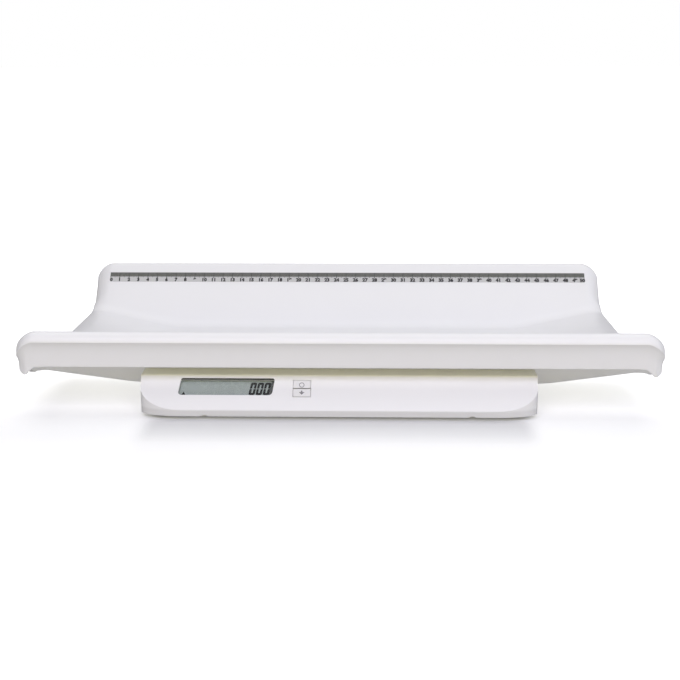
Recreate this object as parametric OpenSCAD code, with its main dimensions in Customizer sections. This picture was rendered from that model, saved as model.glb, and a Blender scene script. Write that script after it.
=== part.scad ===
// Digital baby weighing scale: a trough-shaped tray with a printed ruler, screwed to a
// low base with a sloping display console. The base stands on four load-sensing feet.
// Origin: centre of the footprint on the table. X runs along the tray, -Y is the display
// side, Z is up. All sizes are in millimetres.

/* [Tray] */
// Length of the tray, end to end
tray_l = 531; // [500:1:560]
// Width of the tray, front to back
tray_w = 310; // [304:1:330]
// Thickness of the tray's moulded wall
tray_t = 3; // [2.4:0.1:3.6]
// Depth of the trough below the rim, in the middle
mid_depth = 57; // [52:0.5:60]
// Depth of the trough below the rim, at the two ends
end_depth = 40.5; // [36:0.5:46]
// Half length of the flat middle of the trough floor
flat_half = 176; // [160:1:190]
// Slant of the trough's side walls, from upright
wall_a = 40; // [34:1:44]
// Radius between trough wall and floor
cove_r = 18; // [12:0.5:24]
// Width of the rim outside its crest
rim_w = 8; // [6:0.25:10]
// Radius on the inside of the rim
rim_r = 5; // [4.2:0.1:6]
// Drop from the crest to the crease above the skirt
crease_d = 7.5; // [6:0.25:9]
// Height of rim and skirt together
skirt_d = 29; // [24:0.5:34]
// How far the skirt steps in below the crease
skirt_step_d = 3; // [1:0.25:4]
// Corner radius of the tray seen from above
corner_r = 10; // [7:0.5:13]
// Length over which the tray's ends roll down
roll_l = 16; // [12:0.5:20]
// Drop of the rolled end at the rim and the walls
roll_rim = 15; // [11:0.5:18]
// Drop of the rolled end at the foot of the walls
roll_foot = 8; // [6:0.5:14]
// Drop of the rolled end at the trough floor
roll_floor = 4.5; // [3:0.5:10]
// Height of the lip below the rolled ends
lip_h = 1.5; // [1:0.25:4]
// Length over which the skirt dips at the tray's ends
ear_l = 18; // [14:1:24]
// Depth of that dip
ear_drop = 7; // [3:0.5:9]

/* [Ruler] */
// Length of the ruler strip
ruler_l = 500; // [460:1:502]
// Height of the ruler strip along the wall
ruler_h = 12; // [8:0.5:14]
// Thickness of the ruler strip
ruler_t = 0.5; // [0.3:0.05:0.8]
// Distance from the start of the straight wall down to the strip
ruler_drop = 7.4; // [3:0.2:9]

/* [Base] */
// Width of the base, left to right
base_w = 329.5; // [320:0.5:340]
// How far the base's back face stands inside the tray's edge
back_d = 13; // [5:1:20]
// Height of the deck's top above the table
deck_z = 12.5; // [12:0.1:14]
// Height of the console's top above the table
console_z = 34.4; // [33:0.2:37]
// Height of the crease under the sloping panel
crease_z = 9.4; // [8.6:0.1:10]
// Slope of the display panel, from level
panel_a = 52; // [50:0.5:54]
// Wall thickness of the base's upper housing
base_t = 2.2; // [1.8:0.1:2.6]
// Clear gap between the tray's underside and the base
tray_gap = 1.5; // [1:0.1:3]
// Front corner of the base: length along the front
front_corner_x = 34; // [28:1:38]
// Front corner of the base: depth from the front
front_corner_y = 13; // [10:1:20]
// Back corner radius of the base
back_corner = 24; // [16:1:26]
// Radius along the console's upper edge
console_r = 2; // [1:0.25:3]
// Radius along the deck's back edge
deck_r = 4; // [2:0.5:5]
// Thickness of the bottom cover
bottom_t = 2.6; // [2.4:0.1:2.9]
// How far the bottom cover stands below the upper housing
bottom_drop = 1.2; // [0.8:0.1:1.6]
// Distance of the opening notches from the middle
notch_x = 110.3; // [100:0.5:118]
// Radius of the opening notches
notch_r = 3; // [2:0.25:4]
// Height of the opening notches
notch_h = 1.4; // [1:0.1:2]

/* [Display] */
// Distance from the base's left side to the display opening, at its lower edge
lcd_side_d = 31.45; // [30:0.05:34]
// Width of the display opening
lcd_w = 78.4; // [74:0.2:80]
// Lower edge of the display opening, up the panel from the crease
lcd_s = 13.5; // [13:0.1:14.5]
// Height of the display opening
lcd_h = 13.7; // [12:0.1:14]
// How far the display opening leans to the right at its top
lcd_lean = 2; // [0:0.1:3]
// Corner radius of the display opening
lcd_corner = 1; // [0.5:0.1:2]
// Thickness of the clear window
window_t = 1.5; // [1:0.1:1.8]
// Thickness of the display glass
glass_t = 2.2; // [1.8:0.1:2.6]
// Thickness of the circuit board
board_t = 1.6; // [1.2:0.1:2]
// Depth of the circuit board's face behind the panel
board_d = 9.5; // [9.2:0.1:9.8]

/* [Keys] */
// Distance from the display opening to the middle of the two keys
key_side_d = 24.8; // [24:0.1:26]
// Width of the key opening
key_w = 15; // [13:0.1:16]
// Lower edge of the key opening, up the panel from the crease
key_s = 12; // [11.5:0.1:12.5]
// Height of the key opening
key_h = 15; // [14:0.1:16]
// Gap round a key
key_gap = 0.35; // [0.3:0.05:0.45]
// Gap between the two keys
key_split = 0.8; // [0.6:0.05:1]
// Travel of a key
key_travel = 0.5; // [0.3:0.05:0.6]
// How far a key stands out of the panel
key_proud = 0.2; // [0:0.05:0.4]
// Side of a switch body
switch_w = 6; // [5.6:0.1:6.2]
// Height of a switch body
switch_h = 3.5; // [3.2:0.1:3.6]
// Radius of a switch's plunger
stem_r = 1.6; // [1.3:0.1:1.8]

/* [Battery] */
// Radius of a battery cell
cell_r = 5.2; // [5:0.05:5.25]
// Length of a battery cell
cell_l = 44.5; // [43.5:0.1:45]
// Distance from the battery bay to the hole of the front right foot
bay_foot_d = 5; // [4.5:0.25:8]
// Distance from the base's front to the inside of the battery bay
bay_front_d = 13; // [12.5:0.1:15]
// Thickness of the battery door
door_t = 1.4; // [1.2:0.1:1.6]
// Width of the ledge that the door covers round the bay
door_ledge = 2; // [1.5:0.1:3]
// Distance that the battery door slides
door_travel = 8; // [6:0.5:9]

/* [Feet] */
// Distance of the feet from the base's sides
foot_side_d = 28.75; // [27:0.25:36]
// Distance of the feet from the tray's front and back edges
foot_edge_d = 47; // [45:0.5:51]
// Radius of the rubber pads
pad_r = 13; // [10:0.5:14]
// Thickness of the rubber pads
pad_t = 1.6; // [1.2:0.1:2.4]
// Radius of the foot cups
cup_r = 14.5; // [14.2:0.1:15]
// Side of a load sensor
sensor_w = 34; // [32:0.5:35]
// Thickness of a load sensor
sensor_t = 2.5; // [2.2:0.1:2.8]
// Height of the base's lower edge above the table
base_z = 4.2; // [4:0.1:4.6]

/* [Fasteners] */
// Distance of the tray screws from the middle, left and right
boss_x = 100; // [90:1:110]
// Distance of the tray screws from the tray's front and back edges
boss_edge_d = 93; // [85:1:101]
// Radius of the tray's screw bosses
boss_r = 7; // [6:0.25:8]
// Radius of the tray screws
tray_screw_r = 1.9; // [1.6:0.05:2.1]
// Radius of the housing screws
case_screw_r = 1.4; // [1.2:0.05:1.6]
// Radius of the board screws
board_screw_r = 1; // [0.9:0.05:1.1]

/* [Hidden] */
$fn = 48;

// Colours as the photograph shows them
shell_white = [0.92, 0.92, 0.93];
grey_white = [0.86, 0.86, 0.87];
rubber_grey = [0.35, 0.35, 0.36];
steel = [0.68, 0.69, 0.71];
cut_eps = 0.5;      // how far a cut runs past the face it opens
slide_gap = 0.3;    // clearance between pieces that move past each other
thread_gap = 0.05;  // radial clearance of a screw in its bore
seat_gap = 0.2;     // clearance of a cover in its rebate

// ---- Trough section: heights are measured down from the rim ----
turn_a = 90 - wall_a;                        // turn from wall to floor
rim_z = deck_z + tray_gap + tray_t + mid_depth;
crest_y = tray_w/2 - rim_w;
half_l = tray_l/2;
roll_x = half_l - roll_l;
roll_power = 1.6;                            // flatness of the rolled ends
ramp_soft = 12;                              // half length of the bend where the floor rises
ramp_slope = (mid_depth - end_depth)/(half_l - flat_half);
rim_share = 0.952;                           // share of a quarter ellipse on the rim's outer face
rim_b = crease_d/(1 - sqrt(1 - rim_share*rim_share));
wall_top = [crest_y - rim_r*sin(turn_a), -rim_r*(1 - cos(turn_a))];
ear_turn = 130;                              // the dip is deepest at 90 of these degrees
wall_rows = [0.35, 0.7];                     // rows of points between the rim and the cove
floor_row = 0.55;                            // row of points between the cove and the middle
wall_drop = 1.5;                             // how much further the walls roll down than the rim

function clamp01(v) = min(1, max(0, v));
function ramp(d) = d < -ramp_soft ? 0
    : d < ramp_soft ? pow(d + ramp_soft, 2)/(4*ramp_soft) : d;
function depth_at(x) = mid_depth - ramp_slope*ramp(abs(x) - flat_half);
// Middle line of the cove, where the floor stops being level
function cove_y(depth) = wall_top[0] - cove_r*sin(turn_a)
    - (wall_top[1] + depth - cove_r*(1 - cos(turn_a)))*tan(wall_a);
// Goes from 0 to 1 over the length r, level at its start and upright at its end. A power of
// 2 makes a quarter ellipse, and a lower one a flatter curve
function round_off(d, r, power) = 1 - pow(1 - pow(clamp01(d/r), power), 1/power);
// How much lower the skirt hangs at station x
function ear_dip(x) = ear_drop*pow(sin(ear_turn*clamp01((abs(x) - half_l + ear_l)/ear_l)), 2);
// Half of the trough's section at station x, from the crease to the centre line.
// Each entry is [y, z, drop of the rolled end there]
function half_section(x) = let(depth = depth_at(x), yc = cove_y(depth)) concat(
    [for (s = [1, 0.93, 0.8, 0.6, 0.34, 0])
        [crest_y + rim_w*s, -rim_b*(1 - sqrt(1 - pow(rim_share*s, 2))), roll_rim]],
    [for (k = [1:4]) let(a = turn_a*k/4)
        [crest_y - rim_r*sin(a), -rim_r*(1 - cos(a)), roll_rim]],
    [let(foot = [yc + cove_r*sin(turn_a), -depth + cove_r*(1 - cos(turn_a))])
        for (k = wall_rows) [wall_top[0] + (foot[0] - wall_top[0])*k,
            wall_top[1] + (foot[1] - wall_top[1])*k, roll_rim + wall_drop*k]],
    [for (k = [5:-1:0]) let(a = turn_a*k/5)
        [yc + cove_r*sin(a), -depth + cove_r*(1 - cos(a)),
            roll_floor + (roll_foot - roll_floor)*pow(k/5, 2)]],
    [[yc*floor_row, -depth, roll_floor]]);
function full_section(x) = let(h = half_section(x), n = len(h)) concat(
    [for (p = h) [-p[0], p[1], p[2]]],
    [[0, h[n - 1][1], roll_floor]],
    [for (k = [n - 1:-1:0]) h[k]]);
function tray_x_half() = concat(
    [flat_half - ramp_soft, flat_half, flat_half + ramp_soft, (flat_half + roll_x)/2, roll_x],
    [for (a = [18, 34, 50, 64, 77, 90]) roll_x + roll_l*sin(a)]);
tray_x = let(h = tray_x_half(), n = len(h))
    concat([for (k = [n - 1:-1:0]) -h[k]], [0], h);
// Point of the tray's upper face: the rim draws in round the corner, the end rolls down
function top_point(x, p) =
    let(draw = corner_r*round_off(abs(x) - (half_l - corner_r), corner_r, 2),
        hold = clamp01((abs(p[0]) - (crest_y - rim_r))/(rim_w + rim_r)))
    [x, p[0] - sign(p[0])*draw*hold, rim_z + p[1] - p[2]*round_off(abs(x) - roll_x, roll_l, roll_power)];
// Direction out of the tray in plan, at a boundary point
function plan_out(p) =
    let(cx = half_l - corner_r, cy = tray_w/2 - corner_r, ax = abs(p[0]), ay = abs(p[1]))
    ax < cx ? [0, sign(p[1]), 0]
    : ay < cy - 0.01 ? [sign(p[0]), 0, 0]
    : let(v = [ax - cx, ay - cy], l = norm(v)) [sign(p[0])*v[0]/l, sign(p[1])*v[1]/l, 0];

// Lofted shell: upper face, skirt with its rolled ends, lower edge and inner face
module tray() {
    top = [for (x = tray_x) [for (p = full_section(x)) top_point(x, p)]];
    n = len(top);
    m = len(top[0]);
    // Inner face: the upper face moved in by the wall thickness along its normal
    under = [for (i = [0:n - 1]) [for (j = [0:m - 1])
        let(u = top[min(i + 1, n - 1)][j] - top[max(i - 1, 0)][j],
            v = top[i][min(j + 1, m - 1)] - top[i][max(j - 1, 0)],
            c = cross(u, v))
        top[i][j] - tray_t*c/norm(c)]];
    loop = concat([for (i = [0:n - 1]) [i, 0]], [for (j = [1:m - 2]) [n - 1, j]],
        [for (i = [n - 1:-1:0]) [i, m - 1]], [for (j = [m - 2:-1:1]) [0, j]]);
    edge = [for (k = loop) top[k[0]][k[1]]];
    out = [for (p = edge) plan_out(p)];
    low = [for (p = edge) min(rim_z - skirt_d - ear_dip(p[0]), p[2] - lip_h)];
    step = [for (k = [0:len(edge) - 1])
        skirt_step_d*min(1, (edge[k][2] - low[k])/(skirt_d - crease_d))];
    // Rows down the skirt: [share of the height, share of the step, inside of the wall]
    rows = [[0.16, 0.55, 0], [0.45, 0.9, 0], [1, 1, 0], [1, 1, 1], [0.3, 0.75, 1]];
    rings = [for (r = rows) [for (k = [0:len(edge) - 1])
        let(z = edge[k][2] + (low[k] - edge[k][2])*r[0])
        [edge[k][0], edge[k][1], z] - out[k]*(step[k]*r[1] + tray_t*r[2])]];
    flat_top = [for (row = top) for (p = row) p];
    flat_under = [for (row = under) for (p = row) p];
    flat_rings = [for (row = rings) for (p = row) p];
    base_u = n*m;
    base_r = 2*n*m;
    c = len(loop);
    ids = concat([[for (k = loop) k[0]*m + k[1]]],
        [for (r = [0:len(rows) - 1]) [for (k = [0:c - 1]) base_r + r*c + k]],
        [[for (k = loop) base_u + k[0]*m + k[1]]]);
    faces = concat(
        [for (i = [0:n - 2]) for (j = [0:m - 2]) for (t = [0, 1])
            let(a = i*m + j, b = a + m, d = a + 1, e = b + 1)
            t == 0 ? [a, d, e] : [a, e, b]],
        [for (i = [0:n - 2]) for (j = [0:m - 2]) for (t = [0, 1])
            let(a = base_u + i*m + j, b = a + m, d = a + 1, e = b + 1)
            t == 0 ? [a, e, d] : [a, b, e]],
        [for (r = [0:len(ids) - 2]) for (k = [0:c - 1]) for (t = [0, 1])
            let(q = (k + 1) % c)
            t == 0 ? [ids[r][k], ids[r][q], ids[r + 1][q]]
                : [ids[r][k], ids[r + 1][q], ids[r + 1][k]]]);
    color(shell_white)
    polyhedron(points = concat(flat_top, flat_under, flat_rings), faces = faces, convexity = 8);
}

// Printed ruler, stuck on the straight part of the back wall
module ruler_strip() {
    color(grey_white)
    translate([0, wall_top[0], rim_z + wall_top[1]])
    rotate([-wall_a, 0, 0])
    translate([-ruler_l/2, -ruler_t, -ruler_drop - ruler_h])
    cube([ruler_l, ruler_t, ruler_h]);
}

// ---- Tray fastening ----
tray_under = deck_z + tray_gap;              // underside of the trough's flat middle
well_d = 4.5;                                // depth of the deck's wells for the tray's bosses
well_floor = deck_z - well_d;
well_t = 2;                                  // thickness of that floor
well_gap = 0.6;                              // clearance of a boss in its well
head_h = 2.4;                                // height of a tray screw's head
head_r = 4;                                  // radius of a tray screw's head
bore_end = 1;                                // solid plastic left above a boss's bore
screw_end = 0.6;                             // room left above a screw in its bore
boss_y = tray_w/2 - boss_edge_d;
boss_places = [for (sx = [-1, 1]) for (sy = [-1, 1]) [sx*boss_x, sy*boss_y]];
module at(places) { for (p = places) translate([p[0], p[1], 0]) children(); }

module tray_bosses() {
    color(shell_white) at(boss_places) translate([0, 0, well_floor]) difference() {
        cylinder(r = boss_r, h = tray_under - well_floor);
        translate([0, 0, -cut_eps])
            cylinder(r = tray_screw_r + thread_gap,
                h = tray_under - well_floor - bore_end + cut_eps);
    }
}

// One screw, head down, with its thread pointing up from the origin
module screw(r, l, hr, hh) {
    slot = hr*0.45;                          // half length of the cross recess
    slot_w = slot/2;
    difference() {
        union() {
            cylinder(r = r, h = l);
            translate([0, 0, -hh]) cylinder(r = hr, h = hh);
        }
        for (a = [0, 90]) rotate(a) translate([-slot, -slot_w/2, -hh - cut_eps])
            cube([2*slot, slot_w, hh/2 + cut_eps]);
    }
}

module tray_screws() {
    color(steel) at(boss_places) translate([0, 0, well_floor - well_t])
        screw(tray_screw_r, well_t + tray_under - well_floor - bore_end - screw_end, head_r,
            head_h);
}

// ---- Base ----
front_y = -tray_w/2;
half_w = base_w/2;
base_back = tray_w/2 - back_d;
foot_x = half_w - foot_side_d;
foot_y = tray_w/2 - foot_edge_d;
lcd_x = -half_w + lcd_side_d;
key_x = lcd_x + lcd_w + key_side_d;
cover_z = base_z - bottom_drop;              // underside of the bottom cover
bottom_z = cover_z + bottom_t;               // top face of the bottom cover
corner_steps = 9;
// Outline of the base seen from above, drawn in by i
function base_plan(i) = let(
        fx = front_corner_x - i, fy = front_corner_y - i, b = back_corner - i,
        w = half_w - i, f = front_y + i, r = base_back - i) concat(
    [for (k = [0:corner_steps]) let(a = 90*k/corner_steps)
        [-w + fx*(1 - cos(a)), f + fy*(1 - sin(a))]],
    [for (k = [corner_steps:-1:0]) let(a = 90*k/corner_steps)
        [w - fx*(1 - cos(a)), f + fy*(1 - sin(a))]],
    [for (k = [0:corner_steps]) let(a = 90*k/corner_steps)
        [w - b*(1 - cos(a)), r - b*(1 - sin(a))]],
    [for (k = [corner_steps:-1:0]) let(a = 90*k/corner_steps)
        [-w + b*(1 - cos(a)), r - b*(1 - sin(a))]]);
// Side profile of the base, drawn in by i: front band, panel, console top, saddle under the
// trough, deck and back. The saddle follows the tray's underside at an even gap
function base_profile(i) = let(
        low = i > 0 ? base_z - cut_eps : base_z,
        sx = sin(panel_a), cx = cos(panel_a), top = console_z - i,
        r = i > 0 ? 0.01 : console_r,
        crease = crease_z - i*cx + (i - i*sx)*tan(panel_a),
        edge_y = front_y + i*sx + (top - crease_z + i*cx)/tan(panel_a),
        yc = cove_y(mid_depth), rg = cove_r + tray_t + tray_gap + i,
        arc_z = rim_z - mid_depth + cove_r,
        t = [yc + rg*sin(turn_a), arc_z - rg*cos(turn_a)],
        saddle_y = -(t[0] + (top - t[1])*tan(wall_a)),
        back = base_back - i, deck = deck_z - i, dr = deck_r) concat(
    [[front_y + i, low], [front_y + i, crease]],
    [for (k = [4:-1:0]) let(a = panel_a*k/4)
        [edge_y + r*tan(panel_a/2) - r*sin(a), top - r + r*cos(a)]],
    [[saddle_y, top]],
    [for (k = [8:-1:0]) let(a = turn_a*k/8) [-yc - rg*sin(a), arc_z - rg*cos(a)]],
    [for (k = [0:4]) let(a = 90*k/4)
        [back - dr + dr*sin(a), deck - dr + dr*cos(a)]],
    [[back, low]]);
module base_body(i) {
    intersection() {
        translate([0, 0, base_z - 1]) linear_extrude(console_z) polygon(base_plan(i));
        rotate([90, 0, 90]) translate([0, 0, -half_w]) linear_extrude(base_w)
            polygon(base_profile(i));
    }
}
// Moves children into the panel's own frame: X along it, Y up it from the crease, Z out of it
module on_panel() { translate([0, front_y, crease_z]) rotate([panel_a, 0, 0]) children(); }
function panel_point(s, n) = [front_y + s*cos(panel_a) - n*sin(panel_a),
    crease_z + s*sin(panel_a) + n*cos(panel_a)];

cell_gap = 0.3;
cell_end = 0.3;                              // free length left in a row of cells
contact_t = 0.5;
spring_l = 3.6;
bay_t = 1.5;                                 // wall of the battery bay
bay_l = 2*cell_l + 2*contact_t + spring_l + cell_end;
bay_w = 4*cell_r + 3*cell_gap;
foot_gap = 0.6;                              // clearance of a foot cup in the cover
foot_hole_r = cup_r + foot_gap;
bay_x = foot_x - foot_hole_r - bay_foot_d - bay_l;
bay_y = front_y + bay_front_d;

case_boss_r = 3.6;
case_head_r = 2.8;
case_head_h = 1.8;
case_screw_l = 6;
head_gap = 0.1;                              // depth of a screw head below the cover's face
// Housing screws: distances from the sides, the front, the battery bay and the back
case_side_d = 9.5;
case_middle_d = 8.5;
case_rear_d = 15.5;
case_front_d = 16;
case_back_d = 8;
case_bay_d = 8.6;
front_x = half_w - case_side_d;
side_x = half_w - case_middle_d;
rear_x = half_w - case_rear_d;
front_row = front_y + case_front_d;
rear_row = base_back - case_back_d;
bay_screw = [bay_x - case_bay_d, bay_y + bay_w + case_bay_d];
case_places = [[-front_x, front_row], [front_x, front_row], bay_screw,
    [-side_x, 0], [side_x, 0], [-rear_x, rear_row], [0, rear_row], [rear_x, rear_row]];
foot_places = [[-foot_x, -foot_y], [foot_x, -foot_y], [-foot_x, foot_y], [foot_x, foot_y]];
board_left_d = 14.7;                         // how far the board reaches left of the display
board_right_d = 15;                          // how far it reaches right of the keys' middle
board_x0 = lcd_x - board_left_d;
board_x1 = key_x + board_right_d;
board_s0 = 7;                                // lower edge of the board, up the panel
board_s1 = 29;                               // upper edge of the board, up the panel
post_in = 3.2;                               // distance of the board's posts from its edges
post_r = 2.6;
post_places = [for (x = [board_x0 + post_in, board_x1 - post_in])
    for (s = [board_s0 + post_in, board_s1 - post_in]) [x, s]];
holder_z = deck_z - base_t;                  // ceiling that the sensor holders are fixed to
notch_d = base_t*0.8;                        // the notches leave a thin skin behind them
rib_t = 1.6;
rib_h = 3;
rib_y = [-30, 30];
rib_x = [-60, 0, 60];

// The display opening: a leaning window with rounded corners
module lcd_outline(grow) {
    r = lcd_corner;
    k = lcd_lean/lcd_h;
    function lean(y) = k*(y - lcd_s);
    function corner(x, y, a0) = [for (a = [a0:22.5:a0 + 90])
        [x + r*cos(a) + lean(y + r*sin(a)), y + r*sin(a)]];
    x0 = lcd_x + r - grow;
    x1 = lcd_x + lcd_w - r + grow;
    y0 = lcd_s + r - grow;
    y1 = lcd_s + lcd_h - r + grow;
    polygon(concat(corner(x1, y1, 0), corner(x0, y1, 90), corner(x0, y0, 180),
        corner(x1, y0, 270)));
}

module base_shell() {
    color(shell_white) difference() {
        base_body(0);
        difference() {
            base_body(base_t);
            // Posts, pads and ribs are left standing in the hollow
            at(case_places) translate([0, 0, bottom_z]) cylinder(r = case_boss_r, h = console_z);
            at(boss_places) translate([0, 0, well_floor - well_t])
                cylinder(r = boss_r + well_gap + base_t, h = console_z);
            at(foot_places) translate([-sensor_w/2, -sensor_w/2, holder_z])
                cube([sensor_w, sensor_w, console_z]);
            on_panel() at(post_places) translate([0, 0, -board_d])
                cylinder(r = post_r, h = board_d);
            for (y = rib_y) translate([-half_w, y - rib_t/2, deck_z - base_t - rib_h])
                cube([base_w, rib_t, console_z]);
            for (x = rib_x) translate([x - rib_t/2, -cove_y(mid_depth), deck_z - base_t - rib_h])
                cube([rib_t, cove_y(mid_depth) + base_back, console_z]);
        }
        at(boss_places) {
            translate([0, 0, well_floor]) cylinder(r = boss_r + well_gap, h = console_z);
            translate([0, 0, base_z])
                cylinder(r = tray_screw_r + slide_gap, h = console_z);
        }
        at(case_places) translate([0, 0, cover_z])
            cylinder(r = case_screw_r + thread_gap, h = bottom_t + case_screw_l);
        on_panel() {
            at(post_places) translate([0, 0, -board_d - cut_eps])
                cylinder(r = board_screw_r + thread_gap, h = board_d - base_t + cut_eps);
            translate([0, 0, -2*base_t]) linear_extrude(3*base_t) lcd_outline(0);
            translate([key_x - key_w/2, key_s, -2*base_t]) cube([key_w, key_h, 3*base_t]);
        }
        for (s = [-1, 1]) translate([s*notch_x, front_y + notch_d, base_z + notch_h - notch_r])
            rotate([90, 0, 0]) cylinder(r = notch_r, h = notch_d + cut_eps);
    }
}

// ---- Bottom cover with the battery bay ----
cell_z = cover_z + door_t + cell_gap + cell_r;
bay_top = cell_z + cell_r + cell_gap;
cell_rows = [bay_y + cell_gap + cell_r, bay_y + 2*cell_gap + 3*cell_r];
access_gap = 1.5;                            // room round a tray screw's head in the cover
access_r = head_r + access_gap;
cover_step = 5;                              // how far the cover's lowest face is set in
door_gap = 0.1;                              // clearance of the door below its recess
// Tongues on the door's two ends run in grooves over the lips left in the cover. Slid back
// by its travel, the door has its tongues at the notches between the lips and lifts off
tongue_l = 5;
tongue_w = 1.2;
tongue_t = 0.5;
tongue_front_d = 3;                          // first tongue's distance from the door's front
tongue_y = [for (k = [0, 1])
    bay_y - door_ledge + tongue_front_d + k*(tongue_l + door_travel + 1)];
recess_x = bay_x - door_ledge - slide_gap;
recess_l = bay_l + 2*(door_ledge + slide_gap);
recess_t = door_t + door_gap;

module base_bottom() {
    color(grey_white) difference() {
        union() {
            translate([0, 0, base_z]) linear_extrude(bottom_z - base_z)
                polygon(base_plan(base_t + seat_gap));
            translate([0, 0, cover_z]) linear_extrude(bottom_t)
                polygon(base_plan(base_t + seat_gap + cover_step));
            translate([bay_x - bay_t, bay_y - bay_t, base_z])
                cube([bay_l + 2*bay_t, bay_w + 2*bay_t, bay_top + bay_t - base_z]);
        }
        translate([bay_x, bay_y, cover_z - cut_eps])
            cube([bay_l, bay_w, bay_top - cover_z + cut_eps]);
        // Recess that the door lies and slides in, its grooves, and the notches in their lips
        translate([recess_x, bay_y - door_ledge - slide_gap, cover_z - cut_eps])
            cube([recess_l, bay_w + 2*(door_ledge + slide_gap) + door_travel, recess_t + cut_eps]);
        for (y = tongue_y) {
            translate([recess_x - tongue_w, y - slide_gap, cover_z + door_t - tongue_t - seat_gap])
                cube([recess_l + 2*tongue_w, tongue_l + door_travel + 2*slide_gap,
                    recess_t - door_t + tongue_t + seat_gap]);
            translate([recess_x - tongue_w, y + door_travel - slide_gap, cover_z - cut_eps])
                cube([recess_l + 2*tongue_w, tongue_l + 2*slide_gap, recess_t + cut_eps]);
        }
        at(foot_places) translate([0, 0, cover_z - cut_eps])
            cylinder(r = foot_hole_r, h = bottom_t + 2*cut_eps);
        at(boss_places) translate([0, 0, cover_z - cut_eps])
            cylinder(r = access_r, h = bottom_t + 2*cut_eps);
        at(case_places) translate([0, 0, cover_z - cut_eps]) {
            cylinder(r = case_screw_r + slide_gap, h = bottom_t + 2*cut_eps);
            cylinder(r = case_head_r + slide_gap, h = case_head_h + cut_eps);
        }
    }
}

module housing_screws() {
    color(steel) at(case_places) translate([0, 0, cover_z + case_head_h])
        screw(case_screw_r, bottom_t - case_head_h + case_screw_l - screw_end, case_head_r,
            case_head_h - head_gap);
}

// Door: flat plate with a ribbed thumb grip and two tongues at each end
module battery_door() {
    grips = 5;
    grip_w = 24;
    grip_step = 1.8;
    grip_d = 0.5;
    grip_y = bay_y + bay_w - 8;              // first groove of the thumb grip
    color(grey_white) difference() {
        union() {
            translate([bay_x - door_ledge, bay_y - door_ledge, cover_z])
                cube([bay_l + 2*door_ledge, bay_w + 2*door_ledge, door_t]);
            for (y = tongue_y) translate([bay_x - door_ledge - tongue_w, y, cover_z + door_t - tongue_t])
                cube([bay_l + 2*(door_ledge + tongue_w), tongue_l, tongue_t]);
        }
        for (k = [0:grips - 1])
            translate([bay_x + bay_l/2 - grip_w/2, grip_y + grip_step*k, cover_z - cut_eps])
                cube([grip_w, grip_step/2, grip_d + cut_eps]);
    }
}

module battery_cells() {
    nub_l = 1.1;
    nub_r = 1.9;
    apart = 0.1;                             // hairline between cells in a row
    x0 = bay_x + contact_t + apart;
    module cell() {
        cylinder(r = cell_r, h = cell_l - nub_l);
        translate([0, 0, cell_l - nub_l]) cylinder(r = nub_r, h = nub_l);
    }
    color([0.25, 0.27, 0.3]) for (k = [0, 1]) {
        // Front row: nubs to the left. Back row: nubs to the right
        translate([x0 + cell_l + k*(cell_l + apart), cell_rows[0], cell_z])
            rotate([0, -90, 0]) cell();
        translate([x0 + spring_l + k*(cell_l + apart), cell_rows[1], cell_z])
            rotate([0, 90, 0]) cell();
    }
}

// Sprung and flat contacts at both ends of the bay
module battery_contacts() {
    plate_w = 8;
    plate_h = 8;
    link_h = 4;                              // strip that joins the two plates on the right
    coil_r0 = 3.6;                           // a spring's radius at its plate and at its tip
    coil_r1 = 1.8;
    x1 = bay_x + bay_l - contact_t;
    module plate(x, y) {
        translate([x, y - plate_w/2, cell_z - plate_h/2]) cube([contact_t, plate_w, plate_h]);
    }
    module coil(x, y, dir) {
        translate([x, y, cell_z]) rotate([0, 90*dir, 0])
            cylinder(r1 = coil_r0, r2 = coil_r1, h = spring_l - seat_gap);
    }
    color(steel) {
        plate(bay_x, cell_rows[0]);
        plate(bay_x, cell_rows[1]);
        coil(bay_x + contact_t, cell_rows[1], 1);
        plate(x1, cell_rows[0]);
        plate(x1, cell_rows[1]);
        translate([x1, cell_rows[0], cell_z - link_h/2])
            cube([contact_t, cell_rows[1] - cell_rows[0], link_h]);
        coil(x1, cell_rows[0], -1);
    }
}

// ---- Display and keys, all in the panel's frame ----
window_over = 3;                             // how far the window overlaps behind its opening
frame_t = 1.6;
window_n = -base_t - window_t;               // back face of the window
glass_n = window_n - slide_gap - glass_t;    // back face of the display glass
lcd_cx = lcd_x + lcd_w/2 + lcd_lean/2;
lcd_cs = lcd_s + lcd_h/2;
glass_over_w = 4;                            // how far the glass reaches past its opening
glass_over_h = 2.4;
glass_w = lcd_w + glass_over_w;
glass_h = lcd_h + glass_over_h;
frame_w = glass_w + 2*frame_t + 2*seat_gap;
frame_h = glass_h + 2*frame_t + 2*seat_gap;
zebra_w = 2;
zebra_end_d = 5;                             // distance of the strip from the glass's ends
zebra_l = glass_w - 2*zebra_end_d;
zebra_gap = 0.3;                             // clearance of the strip in the frame
zebra_s = lcd_cs - glass_h/2 + zebra_w;      // the strip runs along the glass's lower edge
module slab(cx, cs, w, h, n0, n1) {
    translate([cx - w/2, cs - h/2, n0]) cube([w, h, n1 - n0]);
}

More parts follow.
